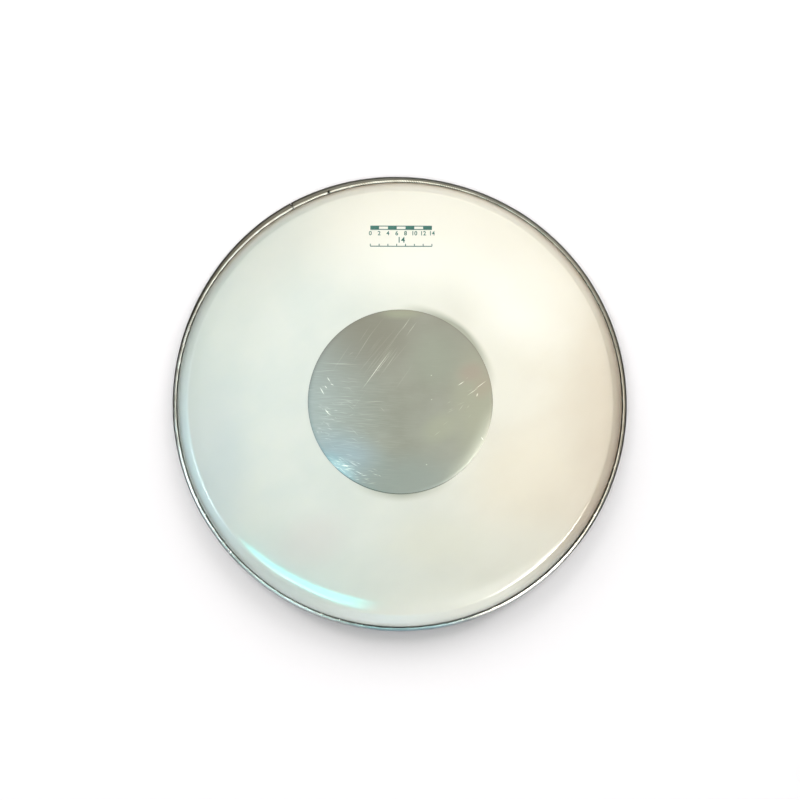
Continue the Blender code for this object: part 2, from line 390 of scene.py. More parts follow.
def hoop_columns():
    """Angles of the hoop's columns, from one of its ends round to the other: close
    together on the filed ends, at the stakes and at the dents."""
    pitch = FULL_TURN / STAKE_COUNT
    half_stake = STAKE_SPAN * STAKE_WIDTH / lip_radius
    at_stake = np.linspace(-half_stake, half_stake, STAKE_COLUMNS)
    between = np.linspace(half_stake, pitch - half_stake, BETWEEN_COLUMNS + 2)[1:-1]
    one_pitch = np.concatenate([at_stake, between]) + pitch / 2
    angles = (np.arange(STAKE_COUNT)[:, None] * pitch + one_pitch[None, :]).ravel()
    ends = JOINT_GAP / 2 / hoop_radius + JOINT_FILING / hoop_radius * np.array(FILED_COLUMNS)
    near_dents = [(dent[0] - JOINT_ANGLE) % FULL_TURN for dent in DENTS]
    spots = np.linspace(-DENT_SPAN, DENT_SPAN, DENT_COLUMNS) / lip_radius
    extra = (np.array(near_dents)[:, None] + spots[None, :]).ravel()
    inner = np.concatenate([angles, extra])
    inner = inner[(inner > ends[-1]) & (inner < FULL_TURN - ends[-1])]
    return np.unique(np.round(np.concatenate([ends, inner, FULL_TURN - ends]), 7))


def hoop_section(turn):
    """The strip's section at each turn on from the joint, clockwise from the foot of the
    outer wall: along the bottom, up and over the inner wall, the channel's inside, the
    lip and the top with its rounded shoulder. Stakes press the lip to the film by a
    raised cosine, and the ends' outer edges are filed round."""
    turn = turn[:, None]
    rng = np.random.default_rng(STAKE_SEED)
    pitch = FULL_TURN / STAKE_COUNT
    index = np.clip((turn / pitch).astype(int), 0, STAKE_COUNT - 1)
    shift = rng.uniform(-1, 1, STAKE_COUNT)[index] * STAKE_SHIFT
    width = rng.uniform(*STAKE_WIDTHS, STAKE_COUNT)[index] * STAKE_WIDTH
    force = rng.uniform(*STAKE_FORCES, STAKE_COUNT)[index]
    along = ((turn / pitch) % 1 - 0.5) * pitch * lip_radius - shift
    stake = force * 0.5 * (1 + np.cos(pi * np.clip(2 * along / width, -1, 1)))

    away = np.minimum(turn, FULL_TURN - turn)
    spread = JOINT_SPREAD * np.cos(UPRIGHT * np.minimum(away / SPREAD_ARC, 1)) ** 2
    from_end = away * hoop_radius - JOINT_GAP / 2
    filed = np.clip(1 - from_end / JOINT_FILING, 0, 1)
    filing = JOINT_FILING * (1 - np.sqrt(1 - filed * filed))

    edge = -RIM_WANDER * (1 + swell(turn, *RIM_SWELL))
    leaned = towards_lean(turn + JOINT_ANGLE)
    lean = LIP_LEAN * np.cos(turn + JOINT_ANGLE - LIP_ANGLE) + GROOVE_BOW * leaned
    lip = lean + LIP_WANDER * swell(turn, *LIP_SWELL)
    outside = hoop_radius + spread - filing + edge
    top = hoop_height - filing
    bend_centre = (outside - HOOP_SHOULDER, top - HOOP_SHOULDER)
    inner_bend = HOOP_SHOULDER - STRIP_THICKNESS
    ceiling = top - STRIP_THICKNESS
    lip_face = lip_radius - LIP_CREEP + lip
    lip_face = np.minimum(lip_face, bend_centre[0] - LIP_BEND - RIM_WANDER)
    lip_back = lip_face + STRIP_THICKNESS
    lip_centre = (lip_face + LIP_BEND, top - LIP_BEND)
    room = lip_face - FOOT_RADIUS - FILM_LEAN * leaned - FILM_GAP
    reach = stake * np.minimum(room, STAKE_REACH)
    wall_back = wall_face_radius - STRIP_THICKNESS
    wall_top = hoop_height - INNER_WALL_DROP
    half_strip = STRIP_THICKNESS / 2
    wall_middle = wall_face_radius - half_strip

    def corner(radius, height):
        return np.stack([radius + 0 * turn, height + 0 * turn], axis=2)

    def bend(centre, size, start, end, steps):
        turns = np.linspace(start, end, steps + 1)[None, :] + 0 * turn
        return np.stack([centre[0] + size * np.cos(turns), centre[1] + size * np.sin(turns)], axis=2)

    bottom_centre = (outside - BOTTOM_BEND, BOTTOM_BEND)
    bottom_outer = bend(bottom_centre, BOTTOM_BEND, 0, -UPRIGHT, STRIP_BEND_STEPS)
    bottom_centre = (wall_back + BOTTOM_BEND, BOTTOM_BEND)
    bottom_inner = bend(bottom_centre, BOTTOM_BEND, -UPRIGHT, -pi, STRIP_BEND_STEPS)
    wall_edge = bend((wall_middle, wall_top - half_strip), half_strip, pi, 0, WALL_EDGE_STEPS)
    channel_floor = corner(wall_face_radius, STRIP_THICKNESS)
    channel_corner = corner(channel_radius + spread, STRIP_THICKNESS)
    under_bend = bend(bend_centre, inner_bend, 0, UPRIGHT, CEILING_STEPS)
    ceiling_inner = corner(lip_back, ceiling)
    lip_tail = corner(lip_back, lip_end_height)
    lip_edge = corner(lip_face, lip_end_height)
    stake_point = corner(lip_face - reach, hoop_height - STAKE_DEPTH)
    lip_upper = corner(lip_face - STAKE_WAIST * reach, top - WAIST_DROP)
    lip_bend = bend(lip_centre, LIP_BEND, pi, UPRIGHT, LIP_STEPS)
    pulled = smooth_step(-np.cos(np.linspace(pi, UPRIGHT, LIP_STEPS + 1)), 0, 1)[None, :]
    lip_bend[:, :, 0] -= STAKE_LEAN * reach * pulled
    flat_share = np.linspace(0, 1, TOP_STEPS + 1)[1:-1][None, :]
    flat_radius = lip_centre[0] * (1 - flat_share) + bend_centre[0] * flat_share
    top_flat = np.stack([flat_radius, top + 0 * flat_radius], axis=2)
    shoulder = bend(bend_centre, HOOP_SHOULDER, UPRIGHT, 0, RIM_STEPS)
    outer_wall = corner(outside, hoop_height / 2)

    return np.concatenate([
        bottom_outer, bottom_inner, wall_edge, channel_floor, channel_corner, under_bend,
        ceiling_inner, lip_tail, lip_edge, stake_point, lip_upper, lip_bend, top_flat,
        shoulder, outer_wall,
    ], axis=1)


def dented(section, angle):
    """Press the dents and the crease left by the rolls into the hoop's top side. Each
    dent is a bell of exp(-distance squared) in its own half lengths."""
    radius = section[:, :, 0]
    height = section[:, :, 1]
    upper = smooth_step(height, hoop_height - PRESSED_START, hoop_height - PRESSED_FULL)
    drop = 0 * radius
    for at, dent_radius, depth, half_length, half_width in DENTS:
        along = ((angle - at + pi) % FULL_TURN - pi) * dent_radius
        across = radius - dent_radius
        drop = drop + depth * np.exp(-((along / half_length) ** 2) - (across / half_width) ** 2)
    crease = np.exp(-(((radius - CREASE_RADIUS) / CREASE_WIDTH) ** 2))
    strength = 0.5 * (1 + swell(angle, *CREASE_SWELL))
    drop = drop + CREASE_DEPTH * crease * strength
    result = section.copy()
    result[:, :, 1] -= drop * upper
    return result


def make_hoop(material):
    """The hoop, from one of its ends round to the other, with its dents and its strip's
    own coordinates."""
    turn = hoop_columns()
    angle = (turn + JOINT_ANGLE)[:, None]
    section = dented(hoop_section(turn), angle)
    points = turned(section, angle)
    faces = closed_ends(*points.shape[:2])
    piece = make_piece("rolled_hoop", points, faces, material, "flesh_hoop")
    steps = np.linalg.norm(np.diff(section, axis=1), axis=2)
    across = np.concatenate([np.zeros((len(turn), 1)), np.cumsum(steps, axis=1)], axis=1)
    along = angle * hoop_radius + 0 * across
    set_strip_coordinates(piece, along, across)
    return piece


def set_strip_coordinates(piece, along, across):
    """UV map in metres: the way along the rolled strip, and the way across it."""
    data = piece.data
    corners = np.zeros(len(data.loops), np.int32)
    data.loops.foreach_get("vertex_index", corners)
    both = np.stack([along.ravel(), across.ravel()], axis=1)[corners]
    layer = data.uv_layers.new(name="strip")
    layer.data.foreach_set("uv", both.astype(np.float32).ravel())


WIRE_SHARP = radians(50)          # bends less sharp than its cut ends are shaded smooth


def make_wire(material):
    """The wire: a circle carried round the hoop, open by the gap between its ends."""
    half_gap = WIRE_END_GAP / 2 / wire_centre_radius
    angle = np.linspace(half_gap, FULL_TURN - half_gap, FILM_COLUMNS)[:, None]
    centre = (wire_centre_radius, wire_centre_height)
    circle = arc(centre, WIRE_RADIUS, 0, -FULL_TURN, WIRE_SIDES)[:-1]
    points = turned(circle[None], angle)
    faces = closed_ends(*points.shape[:2])
    return make_piece("hook_wire", points, faces, material, "lock_ring", WIRE_SHARP)


# Printed scale: plain blocks, ticks and numbers where the head carries its print
PRINT_CENTRE = (0.6 * MM, 133.6 * MM)
PRINT_WIDTH = 49.6 * MM
BLOCK_COUNT = 7
BLOCK_HEIGHT = 3.4 * MM
BLOCK_RISE = 6.6 * MM             # of the blocks' middle above the print's centre
RULE_HEIGHT = 0.7 * MM
RULE_RISE = -8.4 * MM
TICK_HEIGHT = 2.0 * MM
SMALL_NUMBER_RISE = 2.0 * MM
NUMBER_RISE = -3.4 * MM
NUMBER_SIZE = 6.4 * MM
SMALL_NUMBER_SIZE = 4.8 * MM
NUMBER_SWELL = 0.10 * MM          # of the strokes, to a bolder number
INK_LIFT = 0.02 * MM
INK_THICKNESS = 0.02 * MM


def boxes(centres, sizes):
    """Points and quads of upright boxes of the ink's thickness, from arrays of centres
    and of sizes in plan."""
    signs = np.array([[-1, -1], [1, -1], [1, 1], [-1, 1]]) / 2
    plan = centres[:, None, :] + signs[None] * sizes[:, None, :]
    low = np.concatenate([plan, np.full((*plan.shape[:2], 1), 0.0)], axis=2)
    high = np.concatenate([plan, np.full((*plan.shape[:2], 1), INK_THICKNESS)], axis=2)
    points = np.concatenate([low, high], axis=1).reshape(-1, 3)
    box = np.array([[3, 2, 1, 0], [4, 5, 6, 7], [0, 1, 5, 4], [1, 2, 6, 5], [2, 3, 7, 6], [3, 0, 4, 7]])
    quads = (np.arange(len(centres)) * 8)[:, None, None] + box[None]
    return points, quads.reshape(-1, 4)


def number_mesh(text, size, x, y):
    """Points and triangles of a printed number, centred on (x, y)."""
    lettering = bpy.data.curves.new("number", "FONT")
    lettering.body = text
    lettering.size = size
    lettering.align_x = "CENTER"
    lettering.align_y = "CENTER"
    lettering.extrude = INK_THICKNESS / 2
    lettering.offset = NUMBER_SWELL
    holder = bpy.data.objects.new("number", lettering)
    bpy.context.collection.objects.link(holder)
    bpy.context.view_layer.update()
    shown = holder.evaluated_get(bpy.context.evaluated_depsgraph_get())
    data = bpy.data.meshes.new_from_object(shown)
    bpy.data.objects.remove(holder, do_unlink=True)
    seams = bmesh.new()
    seams.from_mesh(data)
    bmesh.ops.remove_doubles(seams, verts=seams.verts, dist=0.1 * INK_THICKNESS)
    bmesh.ops.recalc_face_normals(seams, faces=seams.faces)
    seams.to_mesh(data)
    seams.free()
    data.calc_loop_triangles()
    points = np.zeros(len(data.vertices) * 3)
    data.vertices.foreach_get("co", points)
    triangles = np.zeros(len(data.loop_triangles) * 3, np.int32)
    data.loop_triangles.foreach_get("vertices", triangles)
    bpy.data.meshes.remove(data)
    place = np.array([x, y, INK_THICKNESS / 2])
    return points.reshape(-1, 3) + place, triangles.reshape(-1, 3)


def make_print(material):
    """The scale: a row of blocks, full and hollow in turn, over a rule with ticks and
    numbers, all laid on the film."""
    pitch = PRINT_WIDTH / BLOCK_COUNT
    edges = (np.arange(BLOCK_COUNT + 1) - BLOCK_COUNT / 2) * pitch
    middles = (edges[:-1] + edges[1:]) / 2
    line_rise = (BLOCK_HEIGHT - RULE_HEIGHT) / 2
    rows = [
        (middles[::2], BLOCK_RISE, pitch, BLOCK_HEIGHT),
        (middles[1::2], BLOCK_RISE + line_rise, pitch, RULE_HEIGHT),
        (middles[1::2], BLOCK_RISE - line_rise, pitch, RULE_HEIGHT),
        (np.zeros(1), RULE_RISE, PRINT_WIDTH, RULE_HEIGHT),
        (edges, RULE_RISE + TICK_HEIGHT / 2, RULE_HEIGHT, TICK_HEIGHT),
    ]
    centres = np.array([(x, rise) for places, rise, _, _ in rows for x in places])
    sizes = np.array([(width, height) for places, _, width, height in rows for _ in places])
    points, quads = boxes(centres, sizes)
    faces = [quads]
    parts = [points]
    count = len(points)
    numbers = [(str(2 * i), SMALL_NUMBER_SIZE, x, SMALL_NUMBER_RISE) for i, x in enumerate(edges)]
    numbers.append(("14", NUMBER_SIZE, 0, NUMBER_RISE))
    for text, size, x, y in numbers:
        glyph, triangles = number_mesh(text, size, x, y)
        parts.append(glyph)
        faces.append(triangles + count)
        count += len(glyph)
    points = np.concatenate(parts)
    points[:, :2] += PRINT_CENTRE
    points[:, 2] += playing_height + INK_LIFT + film_sag(points[:, 0], points[:, 1])
    return make_piece("size_print", points, faces, material)


# Finishes

MIX_A, MIX_B, MIX_RESULT = 6, 7, 2


def linear(code):
    """An sRGB hex code as a linear colour, with full alpha."""
    shares = [int(code[i:i + 2], 16) / 255 for i in (1, 3, 5)]
    return (*[s / 12.92 if s <= 0.04045 else ((s + 0.055) / 1.055) ** 2.4 for s in shares], 1.0)


def add_node(tree, kind, inputs=None, **settings):
    """Add a node, set its settings, and give each input its value or the socket that feeds it."""
    node = tree.nodes.new(kind)
    for key, value in settings.items():
        setattr(node, key, value)
    for key, value in (inputs or {}).items():
        if isinstance(value, bpy.types.NodeSocket):
            tree.links.new(value, node.inputs[key])
        else:
            node.inputs[key].default_value = value
    return node


def new_finish(name, values):
    """A material whose Principled shader has the given values, and its node tree and shader."""
    material = bpy.data.materials.new(name)
    material.use_nodes = True
    shader = material.node_tree.nodes["Principled BSDF"]
    for key, value in values.items():
        shader.inputs[key].default_value = value
    return material, material.node_tree, shader


def patch(tree, place, x, y, length, width, turn=0.0):
    """1 in the middle of a soft ellipse, falling straight to 0 at its edge, from its sizes
    in mm and direction in degrees. A very long and thin one is a scratch with pointed ends."""
    laid = add_node(tree, "ShaderNodeMapping", {
        "Vector": place, "Location": (x * MM, y * MM, 0), "Rotation": (0, 0, radians(turn)),
        "Scale": (length * MM / 2, width * MM / 2, 1),
    }, vector_type="TEXTURE")
    ball = add_node(tree, "ShaderNodeTexGradient", {
        "Vector": laid.outputs[0],
    }, gradient_type="SPHERICAL")
    return ball.outputs["Fac"]


def grain(tree, place, length, width, turn=0.0, detail=2.0, low=0.0, high=1.0, most=1.0):
    """Noise whose streaks are about length by width in mm, at a direction in degrees. It
    is 0 below low, and at high it reaches the most that it gives."""
    laid = add_node(tree, "ShaderNodeMapping", {
        "Vector": place, "Rotation": (0, 0, radians(turn)),
        "Scale": (length * MM, width * MM, length * MM),
    }, vector_type="TEXTURE")
    noise = add_node(tree, "ShaderNodeTexNoise", {
        "Vector": laid.outputs[0], "Scale": 1.0, "Detail": detail,
    })
    return add_node(tree, "ShaderNodeMapRange", {
        "Value": noise.outputs["Fac"], "From Min": low, "From Max": high, "To Max": most,
    }).outputs[0]


def from_axis(tree, place):
    """Distance from the head's axis."""
    flat = add_node(tree, "ShaderNodeVectorMath", {0: place, 1: (1, 1, 0)}, operation="MULTIPLY")
    length = add_node(tree, "ShaderNodeVectorMath", {0: flat.outputs[0]}, operation="LENGTH")
    return length.outputs["Value"]


def step_along(tree, place, towards, start, end, low=0.0, high=1.0):
    """A soft step from low to high, between a start and an end along a direction."""
    along = add_node(tree, "ShaderNodeVectorMath", {0: place, 1: towards}, operation="DOT_PRODUCT")
    return add_node(tree, "ShaderNodeMapRange", {
        "Value": along.outputs["Value"], "From Min": start, "From Max": end,
        "To Min": low, "To Max": high,
    }, interpolation_type="SMOOTHSTEP").outputs[0]


def band(tree, distance, inner, outer, fade):
    """1 between two distances from the axis, fading to 0 over a width on either side."""
    rise = add_node(tree, "ShaderNodeMapRange", {
        "Value": distance, "From Min": inner - fade, "From Max": inner,
    }, interpolation_type="SMOOTHSTEP").outputs[0]
    fall = add_node(tree, "ShaderNodeMapRange", {
        "Value": distance, "From Min": outer, "From Max": outer + fade, "To Min": 1.0, "To Max": 0.0,
    }, interpolation_type="SMOOTHSTEP").outputs[0]
    return add_node(tree, "ShaderNodeMath", {0: rise, 1: fall}, operation="MULTIPLY").outputs[0]


def layered(tree, tone, layers):
    """Lay colours over a tone in turn. Each layer is a mask, a colour as a code, a value
    or a socket, and a strength."""
    for share, colour, strength in layers:
        if strength != 1.0:
            share = add_node(tree, "ShaderNodeMath", {
                0: share, 1: strength,
            }, operation="MULTIPLY").outputs[0]
        tone = add_node(tree, "ShaderNodeMix", {
            "Factor": share, MIX_A: tone,
            MIX_B: linear(colour) if isinstance(colour, str) else colour,
        }, data_type="RGBA").outputs[MIX_RESULT]
    return tone


def soft_spots(tree, place, table):
    """A layer for each entry of a table, a soft ellipse: a stain, or a patch of painted light or shade."""
    layers = []
    for *ellipse, code, strength in table:
        share = add_node(tree, "ShaderNodeMapRange", {
            "Value": patch(tree, place, *ellipse), "From Max": SPOT_CORE,
        }, interpolation_type="SMOOTHSTEP").outputs[0]
        layers.append((share, code, strength))
    return layers


def parts_of(tree, mask, place, table):
    """A layer for each part of a table: where a mask and its soft ellipse meet."""
    layers = []
    for *ellipse, code, strength in table:
        share = add_node(tree, "ShaderNodeMath", {
            0: mask, 1: patch(tree, place, *ellipse),
        }, operation="MULTIPLY").outputs[0]
        layers.append((share, code, strength))
    return layers


def on_hoop(angle, radius):
    """x and y in mm of a place on the hoop, from its angle in degrees and radius in mm."""
    return radius * cos(radians(angle)), radius * sin(radians(angle))


# Each spot or part, here and below, is its x, y, length and width in mm, its direction
# in degrees, its colour and its strength
SPOT_CORE = 0.8                  # a spot is full where its ellipse is past this
# Stains and painted light over the film: paler at the back and the back right, darker towards the front
# with a paler front edge, bluer at the left and darker at the right edge
FILM_STAINS_AND_LIGHT = [
    (20.0, 140.0, 260.0, 150.0, 0.0, "#EDEBE0", 0.9),
    (100.0, 84.0, 150.0, 110.0, -40.0, "#EFEDE4", 0.8),
    (-70.0, -112.0, 90.0, 60.0, 30.0, "#D2CDCB", 0.5),
    (30.0, -112.0, 120.0, 60.0, 0.0, "#D3D2C3", 0.5),
    (96.0, -60.0, 130.0, 110.0, 45.0, "#DBCFBB", 0.5),
    (172.0, -10.0, 110.0, 190.0, 0.0, "#BFB4A3", 0.5),
    (30.0, -176.0, 220.0, 76.0, 6.0, "#EFEDE2", 0.7),
    (-150.0, -50.0, 80.0, 200.0, 0.0, "#C0CDD4", 0.5),
    (116.0, 116.0, 60.0, 150.0, 45.0, "#FFFCF0", 0.25),
]
WARM_LIGHT_SPAN = (-140 * MM, 190 * MM)  # painted light over this: cool at the left, warm at the right
CLOUD_STRENGTH = 0.3

# Painted light on the collar's bend: pale parts, cool at the left and the front and warm behind, that
# soften the shading where the shoulder turns down, and a darker tan part at the front right
BENT_START = 171.0 * MM
BENT_END = 176.0 * MM
BENT_FADE = 2.5 * MM
BEND_LIGHT_PARTS = [
    (-170.0, -52.0, 190.0, 190.0, 0.0, "#D8F2F7", 1.2),
    (46.0, 172.0, 220.0, 220.0, 0.0, "#FBF6EA", 0.9),
    (84.0, -154.0, 100.0, 100.0, 0.0, "#F6F2E2", 0.8),
    (-10.0, -176.0, 110.0, 110.0, 0.0, "#E2F4F6", 0.5),
    (146.0, -100.0, 160.0, 160.0, 0.0, "#BFB09A", 0.7),
    (-172.0, 20.0, 160.0, 160.0, 0.0, "#F4F8F8", 0.25),
    (155.0, 90.0, 180.0, 180.0, 0.0, "#FBF3E2", 0.25),
]

# Dirt and painted shade on the collar: it grows towards the hoop, is browner behind and is weaker in front
GRIME_SHADE_START = 171.0 * MM
GRIME_SHADE_POWER = 2.2                 # of its growth from there to the foot
GRIME_SHADE_FRONT = 0.2                 # share of it in front
FRONT_SPAN = (-155 * MM, -90 * MM)
BROWN_TOWARDS = (0.6, 0.8, 0)
BROWN_SPAN = (-60 * MM, 40 * MM)
HANDLED_END = 165 * MM            # the same dirt, spread thin by hands, is full from here
HANDLED_FADE = 65 * MM
HANDLED_STRENGTH = 0.20
PALE_FOOT_START = 178.3 * MM          # painted light on a part of the foot, lifting the painted shade there
PALE_FOOT_END = 180.0 * MM
PALE_FOOT_FADE = 0.5 * MM
PALE_FOOT_PART = (165.0, 85.0, 300.0, 300.0, 0.0, "#DCD2C0", 1.0)

# Painted shadow of the dot on the film round its edge, strongest at the back right
HALO_INSET = 1.0 * MM
HALO_WIDTH = 7.0 * MM
DOT_SHADOW_PARTS = [
    (50.0, 58.0, 110.0, 110.0, 0.0, "#8F9484", 1.5),
    (2.0, -74.0, 90.0, 90.0, 0.0, "#8F9484", 0.7),
]


def milky_polyester():
    """Polyester film, cast milky and formed hot: glossy, faintly uneven in tone, and
    light passes through it. Its tone also holds painted light and shade: cool light at the
    left and warm at the right, light on the collar's bend, shade towards the hoop and the
    dot's shadow round its edge. The IOR of polyester is about 1.6, and is set lower to
    match the soft gloss of this worn one."""
    material, tree, shader = new_finish("milky_polyester", {
        "Roughness": 0.45, "IOR": 1.5, "Subsurface Weight": 1.0,
        "Subsurface Radius": (1.0, 1.0, 0.9), "Subsurface Scale": 0.6 * MM,
        "Coat Weight": 1.0, "Coat Roughness": 0.05, "Coat IOR": 1.55,
    })
    place = add_node(tree, "ShaderNodeTexCoord").outputs["Object"]
    distance = from_axis(tree, place)
    cool_to_warm_light = step_along(tree, place, (1, 0, 0), *WARM_LIGHT_SPAN)
    cloud = grain(tree, place, 55, 40, 34.4, detail=3.0, low=0.35, high=0.65)
    bent = band(tree, distance, BENT_START, BENT_END, BENT_FADE)
    browned = step_along(tree, place, BROWN_TOWARDS, *BROWN_SPAN)
    grime_and_shade_tone = layered(tree, linear("#9CA39D"), [(browned, "#9C8670", 1.0)])
    handled = band(tree, distance, HANDLED_END, hoop_radius, HANDLED_FADE)
    rear = step_along(tree, place, BACK, *FRONT_SPAN, GRIME_SHADE_FRONT)
    # Dirt and painted shade that grow towards the hoop, weaker in front
    grime_and_shade = add_node(tree, "ShaderNodeMapRange", {
        "Value": distance, "From Min": GRIME_SHADE_START, "From Max": FOOT_RADIUS,
    }).outputs[0]
    grime_and_shade = add_node(tree, "ShaderNodeMath", {0: grime_and_shade, 1: GRIME_SHADE_POWER}, operation="POWER").outputs[0]
    pale_foot = band(tree, distance, PALE_FOOT_START, PALE_FOOT_END, PALE_FOOT_FADE)
    near_dot = band(tree, distance, dot_radius - HALO_INSET, dot_radius, HALO_WIDTH)
    tone = layered(tree, linear("#CAD5D2"), [
        # painted cool light at the left and warm light at the right
        (cool_to_warm_light, "#D6CDBE", 1.0),
        (cloud, "#E4E4DA", CLOUD_STRENGTH),
        # stains and painted light
        *soft_spots(tree, place, FILM_STAINS_AND_LIGHT),
        # painted light on the collar's bend
        *parts_of(tree, bent, place, BEND_LIGHT_PARTS),
        (handled, grime_and_shade_tone, HANDLED_STRENGTH),
        # dirt and painted shade towards the hoop
        (grime_and_shade, grime_and_shade_tone, rear),
        # painted light on the foot at the back right
        *parts_of(tree, pale_foot, place, [PALE_FOOT_PART]),
        # painted shadow of the dot round its edge
        *parts_of(tree, near_dot, place, DOT_SHADOW_PARTS),
    ])
    tree.links.new(tone, shader.inputs["Base Color"])
    return material


# Marks that the rolls left slanting across the strip, drawn coarse enough to show
HATCH_PITCH = 1.6 * MM
HATCH_SLANT = radians(35)
HATCH_PART = (8.0, 181.0, 200.0, 70.0)
HATCH_STRENGTH = 0.4              # of them in that part, beside what shows elsewhere

# Broad stretches of the hoop: darker at the right, and teal along the front's outer edge, a painted
# reflection of the cool light
HOOP_TONES = [
    (*on_hoop(14, 172.0), 330.0, 120.0, 104.0, "#67635B", 0.5),
    (10.0, -183.0, 170.0, 50.0, 0.0, "#6F8990", 0.8),
]

# Painted highlights along the hoop's top, in front at the left and at the right
HOOP_HIGHLIGHTS = [
    (*on_hoop(205, 181.0), 150.0, 60.0, 295.0, "#CBD3D3", 0.9),
    (*on_hoop(238, 181.0), 130.0, 60.0, 328.0, "#CDD6D6", 0.9),
    (*on_hoop(305, 183.0), 130.0, 50.0, 35.0, "#E2E0DA", 0.9),
]

# Black in a pit, dark at the joint, a chip with a dark line across it, light spots at the front that are
# painted glints, and dark spots in two dents
HOOP_MARKS = [
    (*on_hoop(108.8, 180.3), 4.0, 3.4, 18.8, "#0A0907", 1.0),
    (*on_hoop(118.8, 184.0), 3.4, 6.0, 28.8, "#16130F", 1.0),
    (*on_hoop(221.4, 181.5), 4.4, 3.6, 40.0, "#F0F4F0", 1.0),
    (*on_hoop(221.2, 181.6), 2.2, 1.6, 130.0, "#2E3836", 1.0),
    # These three light spots, and the last one, are painted glints
    (*on_hoop(249.5, 180.5), 2.2, 1.6, 70.0, "#EEF4F4", 0.9),
    (*on_hoop(254.4, 180.6), 2.4, 1.6, 80.0, "#EEF4F4", 0.9),
    (*on_hoop(260.3, 180.4), 2.0, 1.4, 70.0, "#EEF4F4", 0.8),
    (*on_hoop(150.5, 182.6), 2.4, 2.0, 60.0, "#2A2722", 0.9),
    (*on_hoop(14.5, 181.0), 2.0, 1.6, 14.0, "#2A2722", 0.8),
    (*on_hoop(286.0, 180.8), 2.0, 2.0, 11.0, "#F4F4EE", 0.7),
]

# Tarnish and painted shade on the hoop's outer edge, wider towards the back and the right
TARNISH_SHADE_START = 182.8 * MM
TARNISH_SHADE_FADE = 0.3 * MM
TARNISH_SHADE_STRENGTH = 0.92
TARNISH_SHADE_WIDENING = 2.0 * MM
WIDENING_TOWARDS = (0.45, 0.89, 0)
WIDENING_SPAN = (-80 * MM, 20 * MM)
TARNISH_SHADE_CORNER = 0.9 * MM         # of widening once more, between the back and the right
CORNER_TOWARDS = (0.71, 0.71, 0)
CORNER_SPAN = (125 * MM, 170 * MM)
WALL_TARNISH_SHADE = 0.3                # share of the tarnish and painted shade on the upright wall
WALL_TOP = hoop_height - 1.6 * MM
WALL_FADE = 1.0 * MM

# Darker on the lip's inner edge by the groove, in front at the right
LIP_DARK_START = 180.3 * MM
LIP_DARK_END = 180.9 * MM
LIP_DARK_FADE = 0.3 * MM
LIP_DARK = (*on_hoop(306, 182.0), 240.0, 120.0, 40.0, "#5A5A52", 1.2)
CREASE_HALF = 0.1 * MM
CREASE_FADE = 0.2 * MM
SIDE_REACH = 120 * MM             # painted reflection: the metal is bluer this far left and warmer this far right


